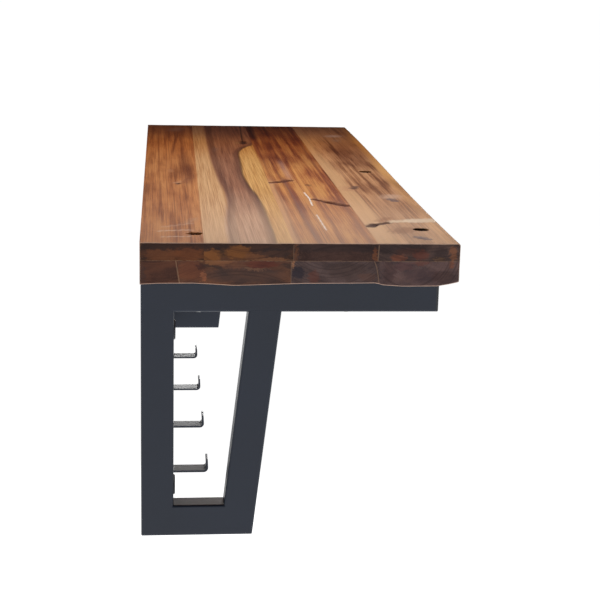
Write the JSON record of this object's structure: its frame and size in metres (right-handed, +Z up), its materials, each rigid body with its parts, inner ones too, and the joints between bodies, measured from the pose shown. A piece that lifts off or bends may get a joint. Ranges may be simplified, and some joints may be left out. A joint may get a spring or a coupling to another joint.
{
  "type": "entryway bench",
  "caption": "Wall-hung entryway bench: glued hardwood slab with a natural front edge on two welded tube brackets, with a bent steel hook plate between them.",
  "frame": {"origin": "centre of the four wall screw holes, on the wall plane at the backs of the posts", "axes": "+X along the bench to the right seen from the front, +Y into the wall, +Z up"},
  "size_m": [1.2, 0.3918, 0.387],
  "materials": {
    "oiled_hardwood": "oiled, satin, strongly figured",
    "powder_coated_steel": "satin anthracite powder coat",
    "zinc_plated_steel": "zinc plated",
    "blackened_steel": "black oxide",
    "black_plastic": "fine matt moulded"
  },
  "bodies": {
    "root": {"top_plank_back": "oiled_hardwood", "top_plank_centre_back": "oiled_hardwood", "top_plank_centre_front": "oiled_hardwood", "top_plank_front": "oiled_hardwood", "base_strip_back": "oiled_hardwood", "base_strip_centre_back": "oiled_hardwood", "base_strip_centre_front": "oiled_hardwood", "base_strip_front": "oiled_hardwood", "left_post": "powder_coated_steel", "left_arm": "powder_coated_steel", "left_foot": "powder_coated_steel", "left_strut": "powder_coated_steel", "right_post": "powder_coated_steel", "right_arm": "powder_coated_steel", "right_foot": "powder_coated_steel", "right_strut": "powder_coated_steel", "rear_slab_rail": "powder_coated_steel", "front_slab_rail": "powder_coated_steel", "hook_rail": "powder_coated_steel", "hook_plate": "powder_coated_steel", "slab_bolts": "zinc_plated_steel", "slab_bolt_washers": "zinc_plated_steel", "rivet_nuts": "zinc_plated_steel", "arm_wood_screws": "zinc_plated_steel", "rail_wood_screws": "zinc_plated_steel", "hook_plate_screws": "blackened_steel", "left_arm_end_cap": "black_plastic", "right_arm_end_cap": "black_plastic", "access_hole_caps": "black_plastic"}
  },
  "joints": []
}
